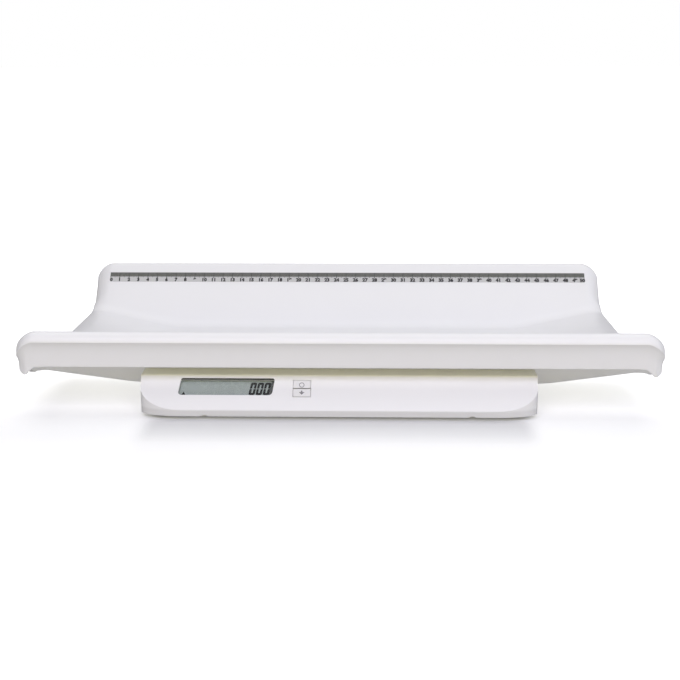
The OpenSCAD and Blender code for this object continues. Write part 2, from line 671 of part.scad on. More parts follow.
module lcd_window() {
    color([0.8, 0.85, 0.84]) on_panel() slab(lcd_cx, lcd_cs, lcd_w + lcd_lean + window_over,
        lcd_h + window_over, window_n, -base_t);
}
module lcd_glass() {
    color([0.59, 0.62, 0.6]) on_panel()
        slab(lcd_cx, lcd_cs, glass_w, glass_h, glass_n, glass_n + glass_t);
}
module lcd_frame() {
    color(grey_white) on_panel() difference() {
        slab(lcd_cx, lcd_cs, frame_w, frame_h, -board_d, window_n);
        slab(lcd_cx, lcd_cs, glass_w + 2*seat_gap, glass_h + 2*seat_gap, glass_n,
            window_n + cut_eps);
        slab(lcd_cx, zebra_s, zebra_l + 2*zebra_gap, zebra_w + 2*zebra_gap, -board_d - cut_eps,
            glass_n + cut_eps);
    }
}
module zebra_strip() {
    color([0.2, 0.2, 0.22]) on_panel()
        slab(lcd_cx, zebra_s, zebra_l, zebra_w, -board_d, glass_n);
}
module main_board() {
    color([0.1, 0.35, 0.2]) on_panel() difference() {
        translate([board_x0, board_s0, -board_d - board_t])
            cube([board_x1 - board_x0, board_s1 - board_s0, board_t]);
        at(post_places) translate([0, 0, -board_d - board_t - cut_eps])
            cylinder(r = board_screw_r + slide_gap, h = board_t + 2*cut_eps);
    }
}
board_screw_l = 5;                           // length of a board screw in its post
board_head_r = 2.1;
board_head_h = 1.3;
module board_screws() {
    color(steel) on_panel() at(post_places) translate([0, 0, -board_d - board_t])
        screw(board_screw_r, board_t + board_screw_l, board_head_r, board_head_h);
}
chip_w = 14;
chip_t = 1.6;
chip_side_d = 10;
chip_x = lcd_cx + chip_side_d;
module controller_chip() {
    color([0.12, 0.12, 0.13]) on_panel()
        slab(chip_x, (board_s0 + board_s1)/2, chip_w, chip_w, -board_d - board_t - chip_t,
            -board_d - board_t);
}
socket_end_d = 22;                           // distance of the socket from the board's end
socket_foot_d = 4;                           // and from the board's lower edge
socket_x = board_x1 - socket_end_d;
socket_s = board_s0 + socket_foot_d;
socket_w = 22;
socket_h = 5;
socket_d = 4.5;
module lead_socket() {
    color([0.9, 0.88, 0.8]) on_panel()
        slab(socket_x, socket_s, socket_w, socket_h, -board_d - board_t - socket_d,
            -board_d - board_t);
}

key_cap_h = (key_h - 2*key_gap - key_split)/2;
lower_key_s = key_s + key_gap + key_cap_h/2;
upper_key_s = key_s + key_h - key_gap - key_cap_h/2;
flange_t = 1.2;
flange_n = -base_t - slide_gap;              // front face of a key's retaining flange
stem_out = 1;                                // how far a plunger stands out of its switch
stem_top = -board_d + switch_h + stem_out;   // top of the switch plunger at rest
stem_foot = -board_d + key_travel + slide_gap;
stem_gap = 0.08;
flange_over = 1.2;                           // how far a flange reaches past the key opening
post_over = 0.5;                             // how much wider a key's post is than the plunger
module key(s) {
    color(grey_white) on_panel() {
        slab(key_x, s, key_w - 2*key_gap, key_cap_h, flange_n, key_proud);
        slab(key_x, s, key_w + 2*flange_over, key_cap_h - 2*slide_gap, flange_n - flange_t,
            flange_n);
        translate([key_x, s, stem_top])
            cylinder(r = stem_r + post_over, h = flange_n - flange_t - stem_top);
    }
}
module stem(s) {
    color([0.15, 0.15, 0.16]) on_panel() translate([key_x, s, stem_foot])
        cylinder(r = stem_r, h = stem_top - stem_foot);
}
module power_key() { key(upper_key_s); }
module power_stem() { stem(upper_key_s); }
module tare_key() { key(lower_key_s); }
module tare_stem() { stem(lower_key_s); }
module switch_bodies() {
    color([0.2, 0.2, 0.22]) on_panel() for (s = [lower_key_s, upper_key_s]) difference() {
        slab(key_x, s, switch_w, switch_w, -board_d, -board_d + switch_h);
        translate([key_x, s, -board_d + seat_gap]) cylinder(r = stem_r + stem_gap, h = switch_h);
    }
}

// ---- Feet: rubber pad, plastic cup, steel sensor and its holder ----
nub_h = 1;                                   // height of the nub that presses on the sensor
holder_t = 1.6;                              // height of the sensor's holder
sensor_top = holder_z - holder_t;
sensor_z = sensor_top - sensor_t;
cup_top = sensor_z - nub_h;
nub_r0 = 3;                                  // the nub's radius at its foot and at its tip
nub_r1 = 2.4;
foot_bevel = 0.5;                            // bevel on the edges of pads and cups
module foot_pad(p) {
    color(rubber_grey) translate([p[0], p[1], 0]) rotate_extrude()
        polygon([[0, 0], [pad_r - foot_bevel, 0], [pad_r, foot_bevel], [pad_r, pad_t], [0, pad_t]]);
}
module foot_cup(p) {
    color(grey_white) translate([p[0], p[1], 0]) rotate_extrude()
        polygon([[0, pad_t], [cup_r - foot_bevel, pad_t], [cup_r, pad_t + foot_bevel],
            [cup_r, cup_top], [nub_r0, cup_top], [nub_r1, sensor_z], [0, sensor_z]]);
}
// Sensor plate: a tongue, cut free on three sides, is pressed up by the foot
module load_sensor(p) {
    slot = 1.6;
    tongue_w = sensor_w*0.4;
    reach = sensor_w*0.3;                    // half length of the slots beside the tongue
    hole_r = 1.6;
    hole_x = sensor_w*0.38;
    color(steel) translate([p[0], p[1], sensor_z]) difference() {
        translate([-sensor_w/2, -sensor_w/2, 0]) cube([sensor_w, sensor_w, sensor_t]);
        for (s = [-1, 1]) translate([s*(tongue_w + slot)/2 - slot/2, -reach, -cut_eps])
            cube([slot, 2*reach, sensor_t + 2*cut_eps]);
        translate([-tongue_w/2 - slot, reach - slot, -cut_eps])
            cube([tongue_w + 2*slot, slot, sensor_t + 2*cut_eps]);
        for (s = [-1, 1]) translate([s*hole_x, 0, -cut_eps])
            cylinder(r = hole_r, h = sensor_t + 2*cut_eps);
    }
}
module sensor_holder(p) {
    inner = sensor_w*0.64;                   // side of the recess that frees the tongue
    recess = holder_t/2;
    color(grey_white) translate([p[0], p[1], sensor_top]) difference() {
        translate([-sensor_w/2, -sensor_w/2, 0]) cube([sensor_w, sensor_w, holder_t]);
        translate([-inner/2, -inner/2, -cut_eps]) cube([inner, inner, recess + cut_eps]);
    }
}

// ---- Leads inside the base, lying on the bottom cover ----
lead_t = 1.1;
lead_z = bottom_z;
socket_edge = panel_point(socket_s - socket_h/2, -board_d - board_t - socket_d);
module run(points, w, h) {
    for (k = [0:len(points) - 2]) {
        d = points[k + 1] - points[k];
        translate([points[k][0], points[k][1], lead_z]) {
            rotate(atan2(d[1], d[0])) translate([0, -w/2, 0]) cube([norm(d), w, h]);
            cylinder(r = w/2, h = h);
        }
        translate([points[k + 1][0], points[k + 1][1], lead_z]) cylinder(r = w/2, h = h);
    }
}
lead_w = 2.4;
lead_step = 3.4;                             // spacing of the leads side by side
lead_end = socket_edge[0] + lead_w/2 + cut_eps; // where the leads stop, short of the socket
lead_slots = [-1.5, 1.5, -0.5, 0.5];         // order in which the leads reach the socket
module sensor_leads() {
    color([0.6, 0.15, 0.12]) for (k = [0:3]) {
        p = foot_places[k];
        start_y = p[1] - sign(p[1])*(sensor_w/2 + slide_gap + lead_w/2);
        row_y = -foot_y + sensor_w/2 + lead_w + (p[1] < 0 ? lead_step : 2*lead_step);
        end_x = socket_x + lead_slots[k]*lead_step;
        run([[p[0], start_y], [p[0], row_y], [end_x, row_y], [end_x, lead_end]],
            lead_w, lead_t);
    }
}
// Two thinner leads from the bay: one comes round from behind, one runs straight
thin_w = lead_w*0.6;
thin_slots = [2.2, 2.9];                     // where they reach the socket
thin_rows = [cell_rows[1], lead_end];
module battery_leads() {
    start_x = bay_x - bay_t - thin_w/2 - slide_gap;
    color([0.12, 0.12, 0.13]) for (k = [0, 1]) let(end_x = socket_x + thin_slots[k]*lead_step)
        run(k == 0 ? [[start_x, thin_rows[k]], [end_x, thin_rows[k]], [end_x, lead_end]]
            : [[start_x, thin_rows[k]], [end_x, lead_end]], thin_w, lead_t);
}

module foot_pad_front_left() { foot_pad(foot_places[0]); }
module foot_pad_front_right() { foot_pad(foot_places[1]); }
module foot_pad_back_left() { foot_pad(foot_places[2]); }
module foot_pad_back_right() { foot_pad(foot_places[3]); }
module foot_cup_front_left() { foot_cup(foot_places[0]); }
module foot_cup_front_right() { foot_cup(foot_places[1]); }
module foot_cup_back_left() { foot_cup(foot_places[2]); }
module foot_cup_back_right() { foot_cup(foot_places[3]); }
module load_sensor_front_left() { load_sensor(foot_places[0]); }
module load_sensor_front_right() { load_sensor(foot_places[1]); }
module load_sensor_back_left() { load_sensor(foot_places[2]); }
module load_sensor_back_right() { load_sensor(foot_places[3]); }
module sensor_holder_front_left() { sensor_holder(foot_places[0]); }
module sensor_holder_front_right() { sensor_holder(foot_places[1]); }
module sensor_holder_back_left() { sensor_holder(foot_places[2]); }
module sensor_holder_back_right() { sensor_holder(foot_places[3]); }

tray();
ruler_strip();
tray_bosses();
tray_screws();
base_shell();
base_bottom();
housing_screws();
lcd_window();
lcd_glass();
lcd_frame();
zebra_strip();
main_board();
board_screws();
controller_chip();
lead_socket();
switch_bodies();
power_key();
power_stem();
tare_key();
tare_stem();
battery_door();
battery_cells();
battery_contacts();
sensor_leads();
battery_leads();
foot_pad_front_left();
foot_pad_front_right();
foot_pad_back_left();
foot_pad_back_right();
foot_cup_front_left();
foot_cup_front_right();
foot_cup_back_left();
foot_cup_back_right();
load_sensor_front_left();
load_sensor_front_right();
load_sensor_back_left();
load_sensor_back_right();
sensor_holder_front_left();
sensor_holder_front_right();
sensor_holder_back_left();
sensor_holder_back_right();
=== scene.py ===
import bmesh
import bpy
import math
import numpy as np
from mathutils import Matrix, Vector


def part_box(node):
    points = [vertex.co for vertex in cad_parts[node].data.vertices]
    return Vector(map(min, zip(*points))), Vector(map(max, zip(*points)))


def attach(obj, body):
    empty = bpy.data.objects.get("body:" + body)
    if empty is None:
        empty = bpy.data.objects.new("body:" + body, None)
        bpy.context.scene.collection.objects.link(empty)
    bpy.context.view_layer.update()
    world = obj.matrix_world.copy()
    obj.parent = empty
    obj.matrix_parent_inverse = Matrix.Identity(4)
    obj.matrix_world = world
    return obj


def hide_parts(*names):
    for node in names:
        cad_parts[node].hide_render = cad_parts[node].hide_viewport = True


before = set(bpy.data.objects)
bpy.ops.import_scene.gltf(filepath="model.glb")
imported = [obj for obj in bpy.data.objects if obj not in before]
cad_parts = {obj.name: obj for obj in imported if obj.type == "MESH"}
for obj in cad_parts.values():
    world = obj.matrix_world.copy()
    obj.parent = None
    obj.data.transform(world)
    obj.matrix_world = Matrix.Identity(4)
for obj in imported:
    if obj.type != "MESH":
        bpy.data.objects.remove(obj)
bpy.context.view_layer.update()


# ---- Foot pads ----
# Four discs of grey thermoplastic rubber that stop the scale from sliding. Each is moulded
# with a fine matt grain and glued under its foot cup.

def lay_node(tree, kind, sockets=None, **settings):
    """Adds a shader node, sets its options and gives named inputs a value or a link."""
    made = tree.nodes.new("ShaderNode" + kind)
    for setting, value in settings.items():
        setattr(made, setting, value)
    for name, value in (sockets or {}).items():
        if isinstance(value, bpy.types.NodeSocket):
            tree.links.new(value, made.inputs[name])
        else:
            made.inputs[name].default_value = value
    return made


def mixed(tree, share, first, second, blend="MIX"):
    """The colour that lies a share of the way from the first to the second, or their blend."""
    return lay_node(tree, "Mix", {"Factor": share, "A": first, "B": second},
                    data_type="RGBA", blend_type=blend).outputs["Result"]


def reckoned(tree, operation, *values):
    """One step of arithmetic on numbers and links."""
    return lay_node(tree, "Math", dict(enumerate(values)), operation=operation).outputs[0]


def surface_group(name, takes, gives):
    """A shader node group, with the sockets it takes its inputs from and gives its outputs to."""
    group = bpy.data.node_groups.new(name, "ShaderNodeTree")
    for way, sockets in (("INPUT", takes), ("OUTPUT", gives)):
        for label, kind in sockets.items():
            group.interface.new_socket(label, in_out=way, socket_type="NodeSocket" + kind)
    given = group.nodes.new("NodeGroupInput").outputs
    return group, given, group.nodes.new("NodeGroupOutput").inputs


def grain_group():
    """Fine moulded grain: the normal of a noise height of a given scale and depth."""
    group, given, gives = surface_group(
        "moulded_grain", {"Coordinates": "Vector", "Scale": "Float", "Depth": "Float"},
        {"Normal": "Vector"})
    noise = lay_node(group, "TexNoise", {"Vector": given["Coordinates"], "Scale": given["Scale"],
                                         "Detail": 3.0, "Roughness": 0.6})
    bump = lay_node(group, "Bump", {"Height": noise.outputs["Fac"], "Distance": given["Depth"],
                                    "Strength": 0.5})
    group.links.new(bump.outputs["Normal"], gives["Normal"])
    return group


def drift_group(quicker=7.0, middle=(0.3, 0.7)):
    """Tones that drift by a slow noise, and roughness by one that is some times quicker.

    The quicker noise's middle range is stretched to the two roughnesses."""
    group, given, gives = surface_group(
        "tone_drift", {"Coordinates": "Vector", "Scale": "Float", "Tone": "Color",
                       "Other Tone": "Color", "Smooth": "Float", "Rough": "Float"},
        {"Color": "Color", "Roughness": "Float"})
    slow = lay_node(group, "TexNoise", {"Vector": given["Coordinates"], "Scale": given["Scale"],
                                        "Detail": 2.0})
    fine = lay_node(group, "TexNoise", {
        "Vector": given["Coordinates"], "Detail": 4.0,
        "Scale": reckoned(group, "MULTIPLY", given["Scale"], quicker)})
    spread = lay_node(group, "MapRange", {
        "Value": fine.outputs["Fac"], "From Min": middle[0], "From Max": middle[1],
        "To Min": given["Smooth"], "To Max": given["Rough"]})
    tone = mixed(group, slow.outputs["Fac"], given["Tone"], given["Other Tone"])
    group.links.new(tone, gives["Color"])
    group.links.new(spread.outputs["Result"], gives["Roughness"])
    return group


moulded_grain, tone_drift = grain_group(), drift_group()


def finish(name, tone, other, smooth, rough, drift=9.0, grain=900.0, depth=0.00004,
           stretch=(1.0, 1.0, 1.0), **sockets):
    """A finish: two tones and two roughnesses that drift, a fine grain, and fixed sockets.

    stretch squeezes the pattern along an axis, as brushing does."""
    made = bpy.data.materials.new(name)
    made.use_nodes = True
    tree = made.node_tree
    shader = tree.nodes["Principled BSDF"]
    place = lay_node(tree, "TexCoord", name="place")
    turned = lay_node(tree, "Mapping", {"Vector": place.outputs["Object"], "Scale": stretch})
    tones = lay_node(tree, "Group", {
        "Coordinates": turned.outputs["Vector"], "Scale": drift, "Tone": (*tone, 1.0),
        "Other Tone": (*other, 1.0), "Smooth": smooth, "Rough": rough},
        node_tree=tone_drift, name="tones")
    bumps = lay_node(tree, "Group", {
        "Coordinates": turned.outputs["Vector"], "Scale": grain, "Depth": depth},
        node_tree=moulded_grain)
    tree.links.new(tones.outputs["Color"], shader.inputs["Base Color"])
    tree.links.new(tones.outputs["Roughness"], shader.inputs["Roughness"])
    tree.links.new(bumps.outputs["Normal"], shader.inputs["Normal"])
    for socket, value in sockets.items():
        shader.inputs[socket.replace("_", " ")].default_value = value
    return made


def wear(material, *names):
    """Gives CAD nodes their finish."""
    for name in names:
        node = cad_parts[name]
        node.data.materials.clear()
        node.data.materials.append(material)


CORNERS = ("front_left", "front_right", "back_left", "back_right")
foot_rubber = finish("foot_rubber", (0.07, 0.07, 0.073), (0.09, 0.09, 0.09), 0.75, 0.92,
                     drift=60.0, grain=2600.0, depth=0.00012)
wear(foot_rubber, *["foot_pad_" + c for c in CORNERS])


# ---- Foot cups and sensor holders ----
# Injection-moulded cups that carry the pads and press on the sensors, and the frames that
# hold the sensors under the deck. Both are the same matt white as the bottom cover.

matt_white = finish("matt_white", (0.70, 0.70, 0.71), (0.67, 0.67, 0.675), 0.5, 0.66,
                    drift=14.0, grain=3200.0, depth=0.00008)
wear(matt_white, *["foot_cup_" + c for c in CORNERS], *["sensor_holder_" + c for c in CORNERS])


# ---- Load sensors ----
# Stamped steel plates with a tongue cut free on three sides. The sheet keeps the fine
# lengthwise lines of its rolling.

rolled_steel = finish("rolled_steel", (0.50, 0.51, 0.53), (0.42, 0.43, 0.45), 0.28, 0.46,
                      drift=90.0, grain=700.0, depth=0.00003, stretch=(0.08, 1.0, 1.0),
                      Metallic=1.0)
wear(rolled_steel, *["load_sensor_" + c for c in CORNERS])


# ---- Bottom cover and battery door ----
# The cover closes the housing from below and holds the battery bay. The door slides over
# the bay on tongues and grooves. Both are moulded with a matt, spark-eroded grain.

wear(matt_white, "base_bottom", "battery_door")


# ---- Screws ----
# Zinc-plated cross-head screws: eight in the housing, four through the deck into the tray
# and four that hold the circuit board.

zinc = finish("zinc", (0.60, 0.61, 0.63), (0.50, 0.52, 0.55), 0.22, 0.42, drift=260.0,
              grain=4000.0, depth=0.00002, Metallic=1.0)
wear(zinc, "housing_screws", "tray_screws", "board_screws")


# ---- Battery cells and contacts ----
# Four slim round cells in printed sleeves, dark with a lighter band at one end, between
# nickel-plated springs and plates.

sleeve = finish("sleeve", (0.035, 0.04, 0.05), (0.05, 0.055, 0.065), 0.2, 0.3, drift=40.0,
                grain=2000.0, depth=0.00001, Coat_Weight=0.5)
cell_low, cell_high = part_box("battery_cells")
CELL_PITCH = (cell_high.x - cell_low.x) / 2  # two cells lie end to end along X
BAND_SHARE = 0.24                            # share of a cell that its light band covers


def ground_of(material):
    """A finish's node tree, the place on the surface and the colour there so far."""
    tree = material.node_tree
    return tree, tree.nodes["place"].outputs["Object"], tree.nodes["tones"].outputs["Color"]


def paint(material, colour):
    """Gives a finish a new colour, worked out by its nodes."""
    shader = material.node_tree.nodes["Principled BSDF"]
    material.node_tree.links.new(colour, shader.inputs["Base Color"])


def band_on(material, start, pitch, share, tone):
    """Paints a band of another tone over a share of each pitch along X."""
    tree, place, colour = ground_of(material)
    split = lay_node(tree, "SeparateXYZ", {"Vector": place})
    along = reckoned(tree, "WRAP", reckoned(tree, "SUBTRACT", split.outputs["X"], start), pitch,
                     0.0)
    inside = reckoned(tree, "LESS_THAN", along, pitch * share)
    paint(material, mixed(tree, inside, colour, (*tone, 1.0)))


band_on(sleeve, cell_low.x, CELL_PITCH, BAND_SHARE, (0.35, 0.36, 0.38))
wear(sleeve, "battery_cells")
nickel = finish("nickel", (0.66, 0.64, 0.60), (0.58, 0.56, 0.53), 0.14, 0.3, drift=200.0,
                grain=3000.0, depth=0.00001, Metallic=1.0)
wear(nickel, "battery_contacts")


# ---- Circuit board and what it carries ----
# A green glass-fibre board with fine copper tracks under its lacquer, a black controller
# chip, a cream lead socket, two black switches and a conductive rubber strip to the display.

board_green = finish("board_green", (0.008, 0.075, 0.03), (0.012, 0.10, 0.045), 0.22, 0.38,
                     drift=150.0, grain=900.0, depth=0.00002, Coat_Weight=0.4)
TRACK_SCALE = 193.75                         # lays the tracks a little over 2 mm apart


def tracks_on(material, scale, tone):
    """Lays fine tracks of another tone: a slanting wave's crests, bent by a slow noise."""
    tree, place, colour = ground_of(material)
    wave = lay_node(tree, "TexWave", {"Vector": place, "Scale": scale, "Distortion": 3.0,
                                      "Detail Scale": 0.4}, bands_direction="DIAGONAL")
    crest = reckoned(tree, "GREATER_THAN", wave.outputs["Fac"], 0.72)
    paint(material, mixed(tree, crest, colour, (*tone, 1.0)))


tracks_on(board_green, TRACK_SCALE, (0.03, 0.17, 0.07))
wear(board_green, "main_board")
black_part = finish("black_part", (0.018, 0.018, 0.02), (0.028, 0.028, 0.03), 0.45, 0.62,
                    drift=120.0, grain=5000.0, depth=0.00004)
wear(black_part, "controller_chip", "switch_bodies", "zebra_strip", "power_stem", "tare_stem")
cream_part = finish("cream_part", (0.75, 0.70, 0.58), (0.70, 0.65, 0.53), 0.4, 0.55,
                    drift=120.0, grain=3000.0, depth=0.00003)
wear(cream_part, "lead_socket")


# ---- Leads ----
# Flat runs of plastic-covered copper lead, laid on the bottom cover from the four sensors
# and the battery bay to the socket.

lead_red = finish("lead_red", (0.33, 0.02, 0.015), (0.27, 0.016, 0.012), 0.3, 0.45, drift=60.0,
                  grain=1800.0, depth=0.00004)
lead_black = finish("lead_black", (0.012, 0.012, 0.013), (0.02, 0.02, 0.021), 0.3, 0.45,
                    drift=60.0, grain=1800.0, depth=0.00004)
wear(lead_red, "sensor_leads")
wear(lead_black, "battery_leads")


# ---- Display ----
# A reflective liquid-crystal glass in a white frame, seen through a clear window that snaps
# in behind a leaning opening. The digits and pointer are printed on the glass. A dark strip
# on the glass along the window's right edge and a dark line on the panel along its top are
# painted shade of the opening's edges.

wear(matt_white, "lcd_frame")
PANEL_FRONT, PANEL_FOOT = -0.155, 0.0094     # the panel's lower edge, in metres
PANEL_SLOPE = math.radians(52)


def on_panel(points):
    """Places points (along the panel, up the panel, out of it), in mm, in the scale's frame."""
    p = np.asarray(points, float) / 1000
    c, s = math.cos(PANEL_SLOPE), math.sin(PANEL_SLOPE)
    return np.column_stack([p[:, 0], PANEL_FRONT + p[:, 1] * c - p[:, 2] * s,
                            PANEL_FOOT + p[:, 1] * s + p[:, 2] * c])


def piece(name, points, faces, body, material, slot):
    """Makes a mesh piece from points in metres and face corner lists, riding on a body."""
    mesh = bpy.data.meshes.new(name)
    mesh.from_pydata([tuple(p) for p in points], [], faces)
    mesh.materials.append(material)
    mesh.update()
    made = bpy.data.objects.new(name, mesh)
    bpy.context.scene.collection.objects.link(made)
    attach(made, body)
    return made


def flat_shapes(outlines, lift):
    """Flat polygons side by side: each outline of (x, s) corners is one face, lifted alike."""
    points, faces = [], []
    for outline in outlines:
        faces.append(list(range(len(points), len(points) + len(outline))))
        points += [(x, s, lift) for x, s in outline]
    return on_panel(points), faces


lcd_glass = finish("lcd_glass", (0.315, 0.365, 0.35), (0.335, 0.385, 0.37), 0.22, 0.3,
                   drift=30.0, grain=6000.0, depth=0.000004)
wear(lcd_glass, "lcd_glass")
clear_window = finish("clear_window", (0.85, 0.9, 0.89), (0.8, 0.86, 0.85), 0.04, 0.09,
                      drift=25.0, grain=3000.0, depth=0.000002, Alpha=0.02)
wear(clear_window, "lcd_window")

GLASS_TOP, INK_LIFT, SHADE_STRIP_LIFT = -4.0, 0.03, 0.02  # heights from the panel and off the glass
DIGIT_LOW, DIGIT_HIGH = 15.0, 26.1           # lower and upper edge of the digits
DIGIT_X = (-74.9, -69.0, -63.1)              # left foot of each digit
DIGIT_WIDTH, STROKE, LEAN = 5.2, 1.95, 0.19  # width, bar width and slant
CUT, BREAK = 1.0, 0.12                       # cut of the corners, half the break at mid height
POINTER = [(-130.8, 14.9), (-127.3, 14.9), (-128.8, 18.0)]
# Painted shade: a dark strip on the glass along the window's right edge, where the opening's edge
# shades it.
SHADE_STRIP = [(-58.7, 13.0), (-54.0, 13.0), (-52.0, 28.2), (-55.5, 28.2)]


def zero_digit(x):
    """A slanted nought of two U-shaped halves with cut corners and a break at mid height."""
    w, h, t = DIGIT_WIDTH, DIGIT_HIGH - DIGIT_LOW, STROKE
    end = h / 2 - BREAK
    inner = end - t / 9
    half = [(0, end), (0, CUT), (CUT, 0), (w - CUT, 0), (w, CUT), (w, end),
            (w - t, inner), (w - t, t), (t, t), (t, inner)]
    upper = [(w - a, h - b) for a, b in half]
    return [[(x + a + LEAN * b, DIGIT_LOW + b) for a, b in part] for part in (half, upper)]


lcd_ink = finish("lcd_ink", (0.004, 0.005, 0.005), (0.008, 0.009, 0.009), 0.5, 0.6,
                 drift=60.0, grain=6000.0, depth=0.000003, Specular_IOR_Level=0.08)
# Dark tone for the painted shade strip along the window's right edge.
painted_edge_shade = finish("painted_edge_shade", (0.085, 0.09, 0.087), (0.1, 0.105, 0.1), 0.45, 0.55, drift=60.0,
                   grain=6000.0, depth=0.000003, Specular_IOR_Level=0.2)
digits = [outline for x in DIGIT_X for outline in zero_digit(x)]
piece("lcd_digits", *flat_shapes(digits + [POINTER], GLASS_TOP + INK_LIFT), "scale", lcd_ink,
      "display_glass")
# The painted shade strip, laid just off the glass.
piece("lcd_edge_shade", *flat_shapes([SHADE_STRIP], GLASS_TOP + SHADE_STRIP_LIFT), "scale", painted_edge_shade,
      "display_glass")

# Dark tone for the painted shade line along the opening's top edge.
painted_line_shade = finish("painted_line_shade", (0.045, 0.047, 0.046), (0.055, 0.057, 0.056), 0.5, 0.6,
                   drift=60.0, grain=6000.0, depth=0.000003, Specular_IOR_Level=0.1)
SATIN = ((0.85, 0.85, 0.865), (0.835, 0.835, 0.85), 0.34, 0.44, 11.0, 1500.0, 0.00002)
window_white = finish("window_white", *SATIN)  # the housing's own white
OPENING = (-133.3, 13.5, 78.4, 13.7, 2.0)    # left, foot, width, height and lean of the opening
LOW_LEFT, LOW_RIGHT, HIGH_LEFT = 3.2, 3.0, 1.6  # radii of its corners
CORNER_LIFT, SHADE_LINE_LIFT = -0.05, 0.02         # heights from the panel
TOP_SHADE_LINE = [(-131.0, 26.9), (-53.1, 26.9), (-53.3, 27.8), (-54.3, 28.4), (-129.8, 28.4),
            (-130.8, 27.8)]                  # painted shade of the opening's top edge, a dark line along its top


def window_corner(right, high, r, steps=9):
    """The white infill of one corner: the corner itself, then a quarter circle hollows it."""
    x0, s0, w, h, lean = OPENING
    turn = np.linspace(0, math.pi / 2, steps)
    across, along = r * (1 - np.cos(turn)), r * (1 - np.sin(turn))
    x, s = np.append(0.0, across), np.append(0.0, along)
    s = h - s if high else s
    x = w - x if right else x
    outline = [(x0 + a + lean * b / h, s0 + b) for a, b in zip(x, s)]
    return outline if right == high else outline[::-1]


corners = [window_corner(False, False, LOW_LEFT), window_corner(True, False, LOW_RIGHT),
           window_corner(False, True, HIGH_LEFT)]
piece("window_corners", *flat_shapes(corners, CORNER_LIFT), "scale", window_white, "shell_white")
# Painted shade: the dark line along the opening's top, on the panel.
piece("window_top_shade", *flat_shapes([TOP_SHADE_LINE], SHADE_LINE_LIFT), "scale", painted_line_shade, "shell_white")


# ---- Keys ----
# Two stacked keys moulded in the housing's white, each standing a little proud of the
# panel. A printed ring marks the upper one and a printed arrow the lower one.

key_white = finish("key_white", (0.80, 0.80, 0.815), (0.78, 0.78, 0.79), 0.36, 0.46,
                   drift=60.0, grain=2600.0, depth=0.00002)
wear(key_white, "power_key", "tare_key")
key_print = finish("key_print", (0.20, 0.20, 0.21), (0.24, 0.24, 0.25), 0.5, 0.6, drift=200.0,
                   grain=4000.0, depth=0.00001)
KEY_TOP = 0.215                              # just above the keys' faces
RING_AT, RING_IN, RING_OUT = (-30.3, 22.6), 1.65, 2.2
ARROW_AT = (-30.2, 15.9)
HEAD, STEM = (2.4, -1.9), (0.6, 1.7)         # half width and reach of the arrow's two parts
HEAD_FOOT = 0.4                              # where the head meets the stem


def ring_shape(centre, r0, r1, lift, steps=32):
    """A flat ring: two circles of points joined by four-cornered faces."""
    turn = np.linspace(0, 2 * math.pi, steps, endpoint=False)
    points = [(centre[0] + r * math.cos(a), centre[1] + r * math.sin(a), lift)
              for r in (r0, r1) for a in turn]
    faces = [(k, (k + 1) % steps, steps + (k + 1) % steps, steps + k)[::-1] for k in range(steps)]
    return on_panel(points), faces


def arrow_shapes(centre):
    """A downward arrow: a triangle for the head and an upright bar for the stem."""
    x, s = centre
    foot = s + HEAD_FOOT
    head = [(x - HEAD[0], foot), (x, s + HEAD[1]), (x + HEAD[0], foot)]
    stem = [(x - STEM[0], foot), (x + STEM[0], foot), (x + STEM[0], s + STEM[1]),
            (x - STEM[0], s + STEM[1])]
    return [head, stem]


piece("power_mark", *ring_shape(RING_AT, RING_IN, RING_OUT, KEY_TOP), "power_key", key_print,
      "key_white")
piece("tare_mark", *flat_shapes(arrow_shapes(ARROW_AT), KEY_TOP), "tare_key", key_print,
      "key_white")


# ---- Upper housing ----
# One moulding: the sloping console panel, the low deck and the wells for the tray's bosses.
# It is satin white, with its edges eased by the mould.

MERGE, FLAT = 0.000002, math.radians(1.0)    # how near doubles are, and how flat joined faces
EASE, SHARP = 0.0005, math.radians(28)       # width of the eased edges, and which edges they are


def eased_copy(name, node, material):
    """A CAD node's mesh with its doubles merged, its flat faces joined and its edges rounded."""
    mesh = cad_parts[node].data.copy()
    mesh.name = name
    made = bpy.data.objects.new(name, mesh)
    bpy.context.scene.collection.objects.link(made)
    mesh.materials.clear()
    mesh.materials.append(material)
    work = bmesh.new()
    work.from_mesh(mesh)
    bmesh.ops.remove_doubles(work, verts=work.verts, dist=MERGE)
    bmesh.ops.dissolve_limit(work, angle_limit=FLAT, verts=work.verts, edges=work.edges)
    work.to_mesh(mesh)
    work.free()
    eased = made.modifiers.new("eased edges", "BEVEL")
    eased.width = EASE
    eased.segments = 3
    eased.limit_method = "ANGLE"
    eased.angle_limit = SHARP
    eased.harden_normals = True
    mesh.shade_smooth()
    mesh.set_sharp_from_angle(angle=SHARP)
    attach(made, "scale")
    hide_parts(node)
    return made


shell_white = finish("shell_white", *SATIN)


def tones_along(tree, value, stops):
    """The tone at a value: (place, tone) stops with straight blends between them."""
    low, high = stops[0][0], stops[-1][0]
    along = lay_node(tree, "MapRange", {"Value": value, "From Min": low, "From Max": high})
    ramp = lay_node(tree, "ValToRGB", {"Fac": along.outputs["Result"]})
    row = ramp.color_ramp.elements
    for k, (place, tone) in enumerate(stops):
        at = (place - low) / (high - low)
        stop = row[k and -1] if k in (0, len(stops) - 1) else row.new(at)
        stop.position = at
        stop.color = (*tone, 1.0)
    return ramp.outputs["Color"]


def tone_by_height(material, stops):
    """Paints light and shade along the height: multiplies the colour by tones given as (z, tone)
    stops.
    """
    tree, place, colour = ground_of(material)
    split = lay_node(tree, "SeparateXYZ", {"Vector": place})
    tone = tones_along(tree, split.outputs["Z"], stops)
    paint(material, mixed(tree, 1.0, colour, tone, "MULTIPLY"))


